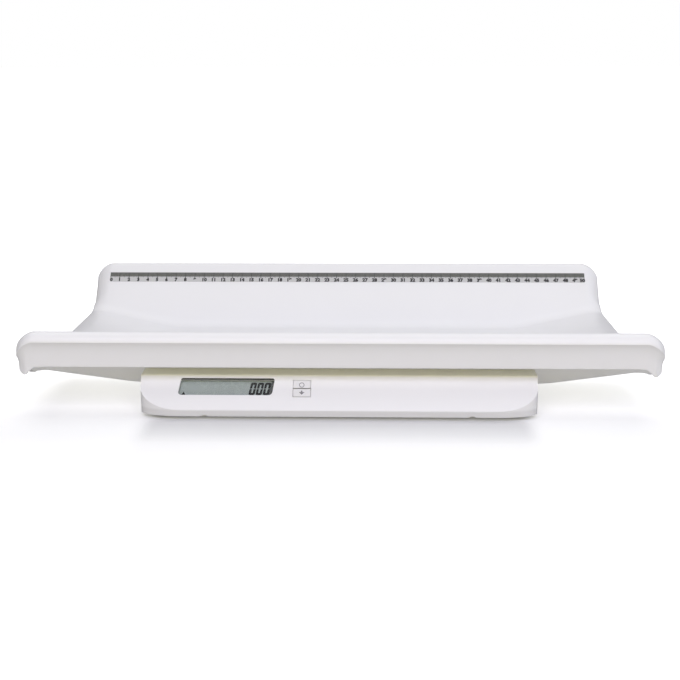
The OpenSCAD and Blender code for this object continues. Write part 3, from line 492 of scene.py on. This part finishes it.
# Painted shade and light on the housing: the low front band darker, the panel's top lighter where
# the tray shades it, and a warm painted glow on the deck seen under the tray.
PAINTED_SHADE_LOW, PLAIN = (0.87, 0.87, 0.87), (1.0, 1.0, 1.0)
PAINTED_LIGHT_UPPER, PAINTED_LIGHT_UPMOST, PAINTED_GLOW_UNDER_TRAY = (1.08, 1.08, 1.07), (1.12, 1.115, 1.08), (1.12, 1.1, 0.9)
tone_by_height(shell_white, ((0.004, PAINTED_SHADE_LOW), (0.0084, PAINTED_SHADE_LOW), (0.0104, PLAIN),
                             (0.0240, PLAIN), (0.0300, PAINTED_LIGHT_UPPER), (0.0328, PAINTED_LIGHT_UPMOST),
                             (0.0341, PAINTED_GLOW_UNDER_TRAY), (0.0345, PAINTED_GLOW_UNDER_TRAY)))
eased_copy("upper_housing", "base_shell", shell_white)


# ---- Tray ----
# A single moulded trough of smooth white plastic, screwed to the housing by four matt bosses
# under its floor. Its rim turns over into a skirt, its two ends roll down, and its floor
# rises a little towards them.

wear(matt_white, "tray_bosses")
tray_white = finish("tray_white", (0.80, 0.80, 0.812), (0.785, 0.785, 0.797), 0.3, 0.42,
                    drift=7.0, grain=1200.0, depth=0.00002)
TRAY_L, TRAY_W, WALL, RIM_Z = 531.0, 310.0, 3.0, 74.0
MID_DEPTH, END_DEPTH = 57.0, 40.5            # depth of the floor in the middle and at the ends
FLAT_HALF, BEND = 176.0, 12.0                # half the level floor, and half the bend's length
SLANT, COVE = math.radians(40), 18.0         # slant of the walls, radius at their foot
RIM_OUT, RIM_IN, CREASE = 8.0, 5.0, 7.5      # the rim's outside and inside, its crease's depth
RIM_SHARE = 0.952                            # share of the rim's quarter ellipse that is used
SKIRT, SKIRT_IN, SKIRT_POWER = 29.0, 3.0, 4.6  # height, step inwards and how quick the step is
PLAN_CORNER, LIP = 10.0, 1.5                 # radius of the corners in plan, least skirt
ROLL_L, ROLL_RIM, ROLL_WALL, ROLL_FOOT = 16.0, 15.0, 1.5, 8.0  # length and drops of the end
ROLL_FLOOR, ROLL_POWER = 4.5, 1.6
EASE_FROM = 0.62                             # share of the wall where its drop starts to ease
EAR_L, EAR_DROP, EAR_TURN = 18.0, 7.0, math.radians(130)  # reach, depth, sweep of its dip
NEAR, SMOOTH_TO = 0.01, math.radians(30)     # what counts as a corner, and as a smooth edge
STATIONS = (5, 11, 8, 30)                    # sections on the flat, the bend, the rise, the end
ROWS = (18, 13, 10, 17, 7)                   # rows round the rim, its bend, wall, cove, floor
TURN = math.pi / 2 - SLANT
HALF_L, CREST = TRAY_L / 2, TRAY_W / 2 - RIM_OUT
ROLL_X = HALF_L - ROLL_L
WALL_TOP = (CREST - RIM_IN * math.sin(TURN), -RIM_IN * (1 - math.cos(TURN)))


def round_off(d, length, power):
    """0 to 1 over a length, level at first and upright at the end: a superellipse's quarter."""
    t = np.clip(d / length, 0, 1)
    return 1 - (1 - t ** power) ** (1 / power)


def trough_stations():
    """Places along the tray: few on the flat, more in the bend and dense round the rolled end."""
    flat, bend, rise, end = STATIONS
    half = np.concatenate([np.linspace(0, FLAT_HALF - BEND, flat)[:-1],
                           np.linspace(FLAT_HALF - BEND, FLAT_HALF + BEND, bend)[:-1],
                           np.linspace(FLAT_HALF + BEND, ROLL_X, rise)[:-1],
                           ROLL_X + ROLL_L * np.sin(np.linspace(0, math.pi / 2, end))])
    return np.concatenate([-half[:0:-1], half])


def trough_half(x):
    """Half sections (y, z, drop) at stations x: rim ellipse, rim arc, wall, cove arc and floor.

    The rim's outside is most of a quarter ellipse, the wall is straight at the slant, and the
    cove is an arc that meets the floor. Drop is how far the rolled end takes each point down."""
    x = x[:, None]
    past = np.abs(x) - FLAT_HALF
    rise = np.where(past < -BEND, 0, np.where(past < BEND, (past + BEND) ** 2 / (4 * BEND), past))
    depth = MID_DEPTH - (MID_DEPTH - END_DEPTH) / (HALF_L - FLAT_HALF) * rise
    foot_y = (WALL_TOP[0] - COVE * math.sin(TURN)
              - (WALL_TOP[1] + depth - COVE * (1 - math.cos(TURN))) * math.tan(SLANT))
    rim_rows, bend_rows, wall_rows, cove_rows, floor_rows = ROWS
    s = np.sin(np.linspace(math.pi / 2, 0, rim_rows))[None, :]
    b = CREASE / (1 - math.sqrt(1 - RIM_SHARE ** 2))
    rim = (CREST + RIM_OUT * s, -b * (1 - np.sqrt(1 - (RIM_SHARE * s) ** 2)), ROLL_RIM + 0 * s)
    a = np.linspace(0, TURN, bend_rows)[None, 1:]
    bend = (CREST - RIM_IN * np.sin(a), -RIM_IN * (1 - np.cos(a)), ROLL_RIM + 0 * a)
    k = np.linspace(0, 1, wall_rows)[None, 1:-1]
    end_y, end_z = foot_y + COVE * math.sin(TURN), -depth + COVE * (1 - math.cos(TURN))
    ease = np.clip((k - EASE_FROM) / (1 - EASE_FROM), 0, 1)
    ease = ease * ease * (3 - 2 * ease)
    wall_drop = ROLL_RIM + ROLL_WALL * k
    wall = (WALL_TOP[0] + (end_y - WALL_TOP[0]) * k, WALL_TOP[1] + (end_z - WALL_TOP[1]) * k,
            wall_drop + (ROLL_FOOT - wall_drop) * ease)
    a = np.linspace(TURN, 0, cove_rows)[None, :]
    cove = (foot_y + COVE * np.sin(a), -depth + COVE * (1 - np.cos(a)),
            ROLL_FLOOR + (ROLL_FOOT - ROLL_FLOOR) * (a / TURN) ** 2)
    f = np.linspace(1, 0, floor_rows)[None, 1:]
    floor = (foot_y * f, -depth + 0 * f, ROLL_FLOOR + 0 * f)
    parts = (rim, bend, wall, cove, floor)
    return [np.concatenate([np.broadcast_to(part[c], (len(x), part[0].shape[1]))
                            for part in parts], axis=1) for c in range(3)]


def trough_face():
    """The tray's upper face as a grid of points: stations by section, front to back.

    The rim draws in round the plan corner and every point sinks by its drop at the end."""
    x = trough_stations()
    y, z, drop = (np.concatenate([way * half, half[:, -2::-1]], axis=1)
                  for way, half in zip((-1, 1, 1), trough_half(x)))
    ends = np.abs(x)[:, None]
    draw = PLAN_CORNER * round_off(ends - (HALF_L - PLAN_CORNER), PLAN_CORNER, 2)
    hold = np.clip((np.abs(y) - (CREST - RIM_IN)) / (RIM_OUT + RIM_IN), 0, 1)
    y = y - np.sign(y) * draw * hold
    z = RIM_Z + z - drop * round_off(ends - ROLL_X, ROLL_L, ROLL_POWER)
    return np.stack([np.broadcast_to(x[:, None], y.shape), y, z], axis=2)


def inner_face(top):
    """The grid moved inwards by the wall along its normal, the cross of its two tangents.

    At the rolled ends it stays a wall's thickness inside the length."""
    u = np.empty_like(top)
    v = np.empty_like(top)
    u[1:-1], u[0], u[-1] = top[2:] - top[:-2], top[1] - top[0], top[-1] - top[-2]
    v[:, 1:-1], v[:, 0], v[:, -1] = (top[:, 2:] - top[:, :-2], top[:, 1] - top[:, 0],
                                     top[:, -1] - top[:, -2])
    c = np.cross(u, v)
    inner = top - WALL * c / np.linalg.norm(c, axis=2, keepdims=True)
    inner[:, :, 0] = np.clip(inner[:, :, 0], WALL - HALF_L, HALF_L - WALL)
    return inner


def border(n, m):
    """Row and column numbers once round the edge of an n by m grid."""
    i = np.concatenate([np.arange(n), np.full(m - 2, n - 1), np.arange(n - 1, -1, -1),
                        np.zeros(m - 2, int)])
    j = np.concatenate([np.zeros(n, int), np.arange(1, m - 1), np.full(n, m - 1),
                        np.arange(m - 2, 0, -1)])
    return i, j


def outward(edge):
    """Direction out of the tray in plan: straight along the sides and ends, radial at corners."""
    cx, cy = HALF_L - PLAN_CORNER, TRAY_W / 2 - PLAN_CORNER
    ax, ay = np.abs(edge[:, 0]), np.abs(edge[:, 1])
    d = np.column_stack([np.clip(ax - cx, 0, None), np.clip(ay - cy, 0, None)])
    d[ax < cx] = (0, 1)
    d[(ax >= cx) & (ay < cy - NEAR)] = (1, 0)
    d /= np.linalg.norm(d, axis=1, keepdims=True)
    return np.column_stack([d * np.sign(edge[:, :2]), np.zeros(len(d))])


SKIRT_DOWN = (0.02, 0.05, 0.09, 0.14, *np.linspace(0.2, 0.97, 12))  # shares of the fall
LIP_ROWS = ((0.99, 1.0, 0.03), (1.0, 1.0, 0.15), (1.0, 1.0, 0.85), (0.99, 1.0, 0.97),
            (0.75, 0.98, 1.0), (0.5, 0.9, 1.0), (0.3, 0.75, 1.0))


def skirt_rows(edge):
    """Rings down the outside of the skirt, round its lower lip and up the inside.

    Each row gives its shares of the fall, of the step inwards and of the wall's thickness.
    The skirt steps in quickly under the crease and then falls straight. Towards the ends it
    dips by the square of a sine."""
    out = outward(edge)
    dip = EAR_DROP * np.sin(EAR_TURN * np.clip((np.abs(edge[:, 0]) - HALF_L + EAR_L) / EAR_L,
                                               0, 1)) ** 2
    low = np.minimum(RIM_Z - SKIRT - dip, edge[:, 2] - LIP)
    fall = edge[:, 2] - low
    step = SKIRT_IN * np.minimum(1, fall / (SKIRT - CREASE))
    rows = [(s, 1 - (1 - s) ** SKIRT_POWER, 0.0) for s in SKIRT_DOWN] + list(LIP_ROWS)
    rings = []
    for s, inward, through in rows:
        ring = edge.copy()
        ring[:, 2] = edge[:, 2] - fall * s
        rings.append(ring - out * (step * inward + WALL * through)[:, None])
    return rings


def strip_faces(first, second):
    """Four-cornered faces between two equal rings of point numbers."""
    return np.column_stack([first, np.roll(first, -1), np.roll(second, -1), second])


def grid_faces(n, m, start, flip):
    """Four-cornered faces of an n by m grid whose points begin at a number."""
    k = (np.arange(n - 1)[:, None] * m + np.arange(m - 1)[None, :]).ravel() + start
    faces = np.column_stack([k, k + m, k + m + 1, k + 1])
    return faces[:, ::-1] if flip else faces


top = trough_face()
under = inner_face(top)
n, m = top.shape[:2]
bi, bj = border(n, m)
rings = skirt_rows(top[bi, bj])
points = np.concatenate([top.reshape(-1, 3), under.reshape(-1, 3)] + rings) / 1000
numbers = [bi * m + bj]
numbers += [2 * n * m + k * len(bi) + np.arange(len(bi)) for k in range(len(rings))]
numbers += [n * m + bi * m + bj]
faces = np.concatenate([grid_faces(n, m, 0, False), grid_faces(n, m, n * m, True)]
                       + [strip_faces(b, a) for a, b in zip(numbers[:-1], numbers[1:])])
tray_skin = piece("tray_skin", points, [tuple(f) for f in faces.tolist()], "scale", tray_white,
                  "shell_white")
underside = tray_skin.data.attributes.new("underside", "FLOAT", "POINT")
below = np.zeros(len(points), np.float32)
below[n * m:2 * n * m] = 1.0
underside.data.foreach_set("value", below)


def light_through(material, attribute, tone):
    """Paints light where marked: a fixed emission that brightens the shaded underside, in place
    of the light that the thin wall lets through.
    """
    tree = material.node_tree
    marked = lay_node(tree, "Attribute", attribute_name=attribute)
    painted_glow = mixed(tree, marked.outputs["Fac"], (0.0, 0.0, 0.0, 1.0), (*tone, 1.0))
    shader = tree.nodes["Principled BSDF"]
    tree.links.new(painted_glow, shader.inputs["Emission Color"])
    shader.inputs["Emission Strength"].default_value = 1.0


# Painted light: the tray's underside glows faintly so that its shade is lifted.
light_through(tray_white, "underside", (0.09, 0.088, 0.08))
tray_skin.data.shade_smooth()
tray_skin.data.set_sharp_from_angle(angle=SMOOTH_TO)
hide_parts("tray")


# ---- Ruler strip ----
# A printed plastic film stuck on the back wall: a darker band of millimetre marks along
# its upper edge and a light band with a number at each centimetre.

film = finish("film", (0.54, 0.54, 0.54), (0.50, 0.50, 0.505), 0.32, 0.42, drift=20.0,
              grain=2500.0, depth=0.00001)
RULER_TOP, FILM_T, INK_T = 7.4, 0.5, 0.03    # place down the wall, thickness of film and ink
HALF_RULE, CM = 250, 10                      # half the rule's length, and a centimetre
BAND = (1.4, 6.0)                            # upper and lower edge of the band of marks
MARK_TOP, MARK_LONG = 0.2, (6.7, 7.3, 7.9)   # from the band's edge; each mm, each 5, each 10
MARK_HALF = (0.27, 0.36)                     # half width of a mark, and of one each 10 mm
FIGURE_SIZE, FIGURE_DOWN = 5.3, 11.75        # size of the figures, their foot down the film
FIGURE_FAT, FIGURE_REACH = 0.36, 3.4         # how much bolder, and half the width they may have
END_NUDGE = {0: 1.3, 50: -2.4}               # keeps the first and the last on the film


def print_by_height(material, edges, margin, band, other, fleck):
    """Prints tones between heights: margin above the first, a flecked band above the second.

    The band drifts between two tones by a noise of the given scale."""
    tree, place, colour = ground_of(material)
    split = lay_node(tree, "SeparateXYZ", {"Vector": place})
    flecks = lay_node(tree, "TexNoise", {"Vector": place, "Scale": fleck})
    mottle = mixed(tree, flecks.outputs["Fac"], (*band, 1.0), (*other, 1.0))
    for height, tone in ((edges[1], mottle), (edges[0], (*margin, 1.0))):
        above = reckoned(tree, "GREATER_THAN", split.outputs["Z"], height)
        colour = mixed(tree, above, colour, tone)
    paint(material, colour)


def on_wall(x, down, lift):
    """Points on the back wall's film: along the tray, down from the rim's bend, off the film."""
    y = WALL_TOP[0] - down * math.sin(SLANT) - (FILM_T + lift) * math.cos(SLANT)
    z = RIM_Z + WALL_TOP[1] - down * math.cos(SLANT) + (FILM_T + lift) * math.sin(SLANT)
    return np.column_stack([x + 0 * y, y + 0 * x, z + 0 * x]) / 1000


edges = on_wall(np.zeros(2), RULER_TOP + np.array(BAND), 0.0)[:, 2].tolist()
print_by_height(film, edges, margin=(0.78, 0.78, 0.79), band=(0.185, 0.19, 0.165),
                other=(0.25, 0.255, 0.23), fleck=300.0)
wear(film, "ruler_strip")
mark_ink = finish("mark_ink", (0.02, 0.02, 0.021), (0.03, 0.03, 0.03), 0.45, 0.55, drift=80.0,
                  grain=5000.0, depth=0.000003)


def scale_marks():
    """One thin four-cornered mark each millimetre, longer each five and each ten."""
    mm = np.arange(2 * HALF_RULE + 1)
    x = mm - float(HALF_RULE)
    ten, five = mm % CM == 0, mm % (CM // 2) == 0
    half = np.where(ten, MARK_HALF[1], MARK_HALF[0])
    tail = RULER_TOP + np.where(ten, MARK_LONG[2], np.where(five, MARK_LONG[1], MARK_LONG[0]))
    head = RULER_TOP + BAND[0] + MARK_TOP + 0 * x
    left, right = np.clip([x - half, x + half], -HALF_RULE, HALF_RULE)
    corners = [on_wall(across, down, INK_T) for across, down in
               ((left, head), (left, tail), (right, tail), (right, head))]
    points = np.stack(corners, axis=1).reshape(-1, 3)
    return points, [tuple(f) for f in np.arange(4 * len(mm)).reshape(-1, 4).tolist()]


piece("ruler_marks", *scale_marks(), "scale", mark_ink, "ruler_print")


def ruler_figures(size, down):
    """The numbers 0 to 50 as flat faces, each centred under its centimetre mark."""
    points, faces = [], []
    for cm in range(2 * HALF_RULE // CM + 1):
        text = bpy.data.curves.new("figure", "FONT")
        text.body = str(cm)
        text.size = size
        text.align_x = "CENTER"
        text.offset = FIGURE_FAT
        text.resolution_u = 2
        holder = bpy.data.objects.new("figure", text)
        bpy.context.scene.collection.objects.link(holder)
        flat = bpy.data.meshes.new_from_object(holder)
        co = np.zeros(len(flat.vertices) * 3)
        flat.vertices.foreach_get("co", co)
        co = co.reshape(-1, 3)
        x = np.clip(co[:, 0], -FIGURE_REACH, FIGURE_REACH) + cm * CM - HALF_RULE
        x += END_NUDGE.get(cm, 0.0)
        start = sum(len(p) for p in points)
        faces += [tuple(start + k for k in f.vertices) for f in flat.polygons]
        points.append(on_wall(x, down - co[:, 1], INK_T))
        bpy.data.objects.remove(holder)
        bpy.data.curves.remove(text)
        bpy.data.meshes.remove(flat)
    return np.concatenate(points), faces


piece("ruler_figures", *ruler_figures(FIGURE_SIZE, RULER_TOP + FIGURE_DOWN), "scale", mark_ink,
      "ruler_print")


# ---- Studio ----
# A pale paper floor without a visible edge, whose glow paints light by its place: it burns
# out to white away from the scale, washes out the tray's shadow past the base's ends and
# shapes the shade along the base's front. Also a white backdrop, five broad soft lights and
# the camera at the photo's place and angle.

FLOOR_HALF = 12.0


def floor_sheet(size):
    """A plain square on the ground, reaching a size out to all four sides."""
    mesh = bpy.data.meshes.new("floor")
    mesh.from_pydata([(-size, -size, 0), (size, -size, 0), (size, size, 0), (-size, size, 0)],
                     [], [(0, 1, 2, 3)])
    made = bpy.data.objects.new("floor", mesh)
    bpy.context.scene.collection.objects.link(made)
    return made


floor = floor_sheet(FLOOR_HALF)
paper = finish("paper", (0.805, 0.805, 0.80), (0.795, 0.795, 0.79), 0.8, 0.9, drift=2.0,
               grain=80.0, depth=0.00001)


def bright_surround(material, front, beside, corner, far, bounce, share):
    """Paints light on the floor by its place: a glow that burns it out to white round the scale
    and lifts the scale's own shadows, dipping just in front of the base, where its curve
    shapes the shade.

    front and beside list (y, glow) in front of the base and past its two ends, in metres.
    Each is a curve over Y, and corner gives the two |x| between which one turns into the
    other. Between the two distances of far the glow grows again. Rays that don't come from
    the camera meet a darker floor with a share of the glow. From below the floor is clear."""
    tree, place, colour = ground_of(material)
    split = lay_node(tree, "SeparateXYZ", {"Vector": place})
    glows = [tones_along(tree, split.outputs["Y"], [(y, (glow,) * 3) for y, glow in stops])
             for stops in (front, beside)]
    past = lay_node(tree, "MapRange", {
        "Value": reckoned(tree, "ABSOLUTE", split.outputs["X"]), "From Min": corner[0],
        "From Max": corner[1]}, interpolation_type="SMOOTHSTEP")
    near_glow = mixed(tree, past.outputs["Result"], *glows)
    reach = lay_node(tree, "VectorMath", {0: place}, operation="LENGTH")
    far_glow = lay_node(tree, "MapRange", {
        "Value": reach.outputs["Value"], "From Min": far[0], "From Max": far[1]})
    whole = lay_node(tree, "VectorMath", {0: near_glow, 1: far_glow.outputs["Result"]},
                     operation="ADD")
    under = lay_node(tree, "NewGeometry").outputs["Backfacing"]
    seen = lay_node(tree, "LightPath").outputs["Is Camera Ray"]
    strength = lay_node(tree, "MapRange", {"Value": seen, "To Min": share})
    shader = tree.nodes["Principled BSDF"]
    tree.links.new(whole.outputs["Vector"], shader.inputs["Emission Color"])
    tree.links.new(strength.outputs["Result"], shader.inputs["Emission Strength"])
    tree.links.new(reckoned(tree, "SUBTRACT", 1.0, under), shader.inputs["Alpha"])
    paint(material, mixed(tree, seen, (bounce, bounce, bounce, 1.0), colour))


# Painted light on the floor: glow along Y in front of the base, dipping near its foot to shape
# the shade there, and past its ends, high enough to wash out the tray's shadow.
FRONT_GLOW = ((-0.26, 0.27), (-0.212, 0.225), (-0.199, 0.148), (-0.187, 0.075),
              (-0.177, 0.04), (-0.165, 0.01), (-0.157, 0.035), (-0.152, 0.14), (-0.148, 0.225),
              (-0.144, 0.11), (-0.13, 0.05), (0.1, 0.1), (0.16, 0.9), (0.3, 1.1))
BESIDE_GLOW = ((-0.26, 0.3), (-0.213, 0.285), (-0.19, 0.27), (-0.166, 0.31), (-0.148, 0.355),
               (-0.133, 0.405), (-0.116, 0.45), (-0.1, 0.48), (-0.082, 0.52), (-0.064, 0.56),
               (-0.046, 0.62), (-0.03, 0.8), (0.3, 1.1))
bright_surround(paper, FRONT_GLOW, BESIDE_GLOW, corner=(0.148, 0.168), far=(0.4, 2.0),
                bounce=0.45, share=0.25)
floor.data.materials.append(paper)

surround = bpy.data.worlds.new("surround")
surround.use_nodes = True
bpy.context.scene.world = surround
sky = surround.node_tree
dim = sky.nodes["Background"]                # what lights the scale from all round
dim.inputs["Color"].default_value = (1.0, 1.0, 0.97, 1.0)
dim.inputs["Strength"].default_value = 0.01
backdrop = lay_node(sky, "Background", {"Color": (1.0, 1.0, 1.0, 1.0)})  # what the camera sees
seen = lay_node(sky, "LightPath").outputs["Is Camera Ray"]
either = lay_node(sky, "MixShader", {"Fac": seen, 1: dim.outputs[0], 2: backdrop.outputs[0]})
sky.links.new(either.outputs[0], sky.nodes["World Output"].inputs["Surface"])


def soft_light(name, at, aim, size, power, tone):
    """A rectangular light at a place, turned to face another place.

    Its width lies level, at right angles to its aim, and along X where it hangs overhead."""
    data = bpy.data.lights.new(name, "AREA")
    data.shape = "RECTANGLE"
    data.size, data.size_y = size
    data.energy = power
    data.color = tone
    made = bpy.data.objects.new(name, data)
    bpy.context.scene.collection.objects.link(made)
    at, aim = np.array(at), np.array(aim)
    back = (at - aim) / np.linalg.norm(at - aim)
    overhead = abs(back[2]) > 0.9
    side = np.cross((0, 1, 0) if overhead else (0, 0, 1), back)
    side /= np.linalg.norm(side)
    turn = np.column_stack([side, np.cross(back, side), back])
    made.matrix_world = Matrix.Translation(at) @ Matrix(turn.tolist()).to_4x4()


MIDDLE = (0.0, 0.0, 0.0)
soft_light("front", (0.0, -1.87, 1.46), MIDDLE, (2.6, 1.0), 38.0, (0.834, 0.824, 1.0))
soft_light("top", (0.0, 0.0, 2.0), MIDDLE, (2.6, 1.2), 15.0, (0.975, 1.0, 0.986))
soft_light("back", (0.0, 1.3, 1.7), MIDDLE, (3.0, 1.6), 15.8, (1.0, 0.953, 0.902))
soft_light("low", (0.0, -2.2, 0.7), (0.0, 0.0, 0.1), (2.6, 0.8), 11.4, (1.0, 0.891, 0.393))
soft_light("right", (1.9, -0.6, 1.1), MIDDLE, (1.0, 1.6), 9.6, (0.845, 0.895, 1.0))

CAMERA_AT = (0.0282, -1.0392, 0.3039)
YAW, PITCH, ROLL = (math.radians(v) for v in (-1.70, 14.83, -0.22))
FOCAL_PX, PHOTO_PX, SENSOR = 1134.2, 680, 36.0  # focal length and photo width in pixels
forward = np.array([math.sin(YAW) * math.cos(PITCH), math.cos(YAW) * math.cos(PITCH),
                    -math.sin(PITCH)])
level = np.array([math.cos(YAW), -math.sin(YAW), 0.0])
upright = np.cross(level, forward)
right = math.cos(ROLL) * level + math.sin(ROLL) * upright
up = math.cos(ROLL) * upright - math.sin(ROLL) * level
camera = bpy.data.objects.new("camera", bpy.data.cameras.new("camera"))
camera.data.sensor_width = SENSOR
camera.data.lens = FOCAL_PX / PHOTO_PX * SENSOR
camera.data.clip_start = 0.01
camera.matrix_world = (Matrix.Translation(CAMERA_AT)
                       @ Matrix(np.column_stack([right, up, -forward]).tolist()).to_4x4())
bpy.context.scene.collection.objects.link(camera)
bpy.context.scene.camera = camera
bpy.context.scene.view_settings.view_transform = "Standard"
